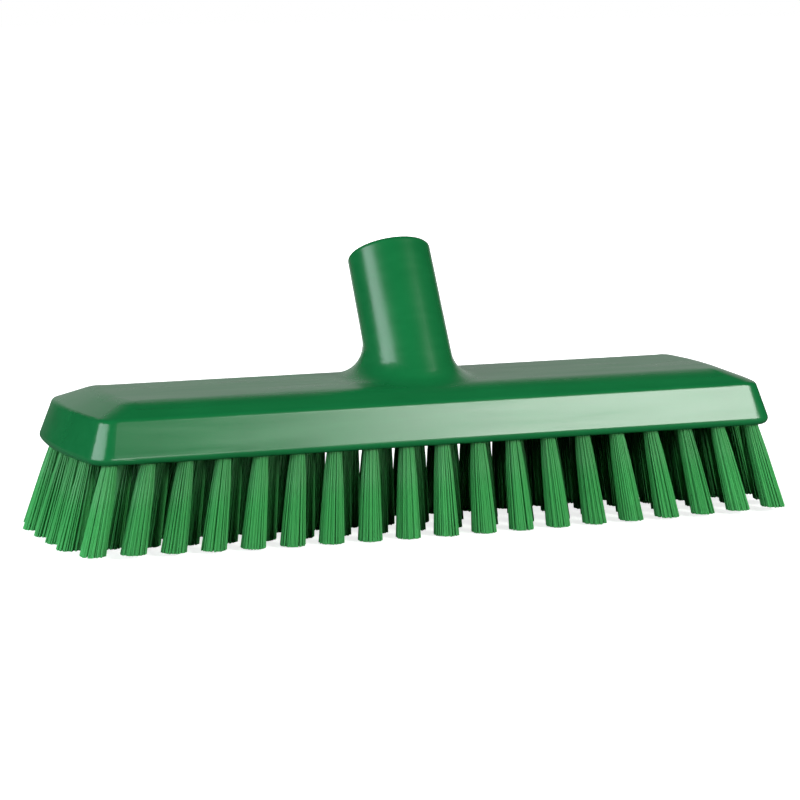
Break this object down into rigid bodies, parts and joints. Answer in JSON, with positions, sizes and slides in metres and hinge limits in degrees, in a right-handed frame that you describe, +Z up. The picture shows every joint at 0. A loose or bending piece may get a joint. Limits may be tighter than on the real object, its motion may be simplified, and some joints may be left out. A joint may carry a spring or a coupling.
{
  "type": "deck scrub brush",
  "caption": "Long green floor scrub brush head: moulded block with an angled handle socket, drilled from below for rows of splayed bristle tufts on wire anchors.",
  "frame": {"origin": "on the floor, under the middle of the bristle tips", "axes": "+X along the block, +Y the way the handle socket leans, +Z up, away from the floor"},
  "size_m": [0.3106, 0.0856, 0.1129],
  "materials": {
    "block_plastic": "satin",
    "bristles": "satin",
    "anchor_steel": "bright drawn wire"
  },
  "bodies": {
    "root": {"brush_block": "block_plastic", "front_tuft_01": "bristles", "front_tuft_02": "bristles", "front_tuft_03": "bristles", "front_tuft_04": "bristles", "front_tuft_05": "bristles", "front_tuft_06": "bristles", "front_tuft_07": "bristles", "front_tuft_08": "bristles", "front_tuft_09": "bristles", "front_tuft_10": "bristles", "front_tuft_11": "bristles", "front_tuft_12": "bristles", "front_tuft_13": "bristles", "front_tuft_14": "bristles", "front_tuft_15": "bristles", "front_tuft_16": "bristles", "front_tuft_17": "bristles", "front_tuft_18": "bristles", "front_tuft_19": "bristles", "rear_tuft_01": "bristles", "rear_tuft_02": "bristles", "rear_tuft_03": "bristles", "rear_tuft_04": "bristles", "rear_tuft_05": "bristles", "rear_tuft_06": "bristles", "rear_tuft_07": "bristles", "rear_tuft_08": "bristles", "rear_tuft_09": "bristles", "rear_tuft_10": "bristles", "rear_tuft_11": "bristles", "rear_tuft_12": "bristles", "rear_tuft_13": "bristles", "rear_tuft_14": "bristles", "rear_tuft_15": "bristles", "rear_tuft_16": "bristles", "rear_tuft_17": "bristles", "rear_tuft_18": "bristles", "rear_tuft_19": "bristles", "second_row_tufts": "bristles", "third_row_tufts": "bristles", "fourth_row_tufts": "bristles", "fifth_row_tufts": "bristles", "front_row_anchors": "anchor_steel", "second_row_anchors": "anchor_steel", "third_row_anchors": "anchor_steel", "fourth_row_anchors": "anchor_steel", "fifth_row_anchors": "anchor_steel", "rear_row_anchors": "anchor_steel"}
  },
  "joints": []
}
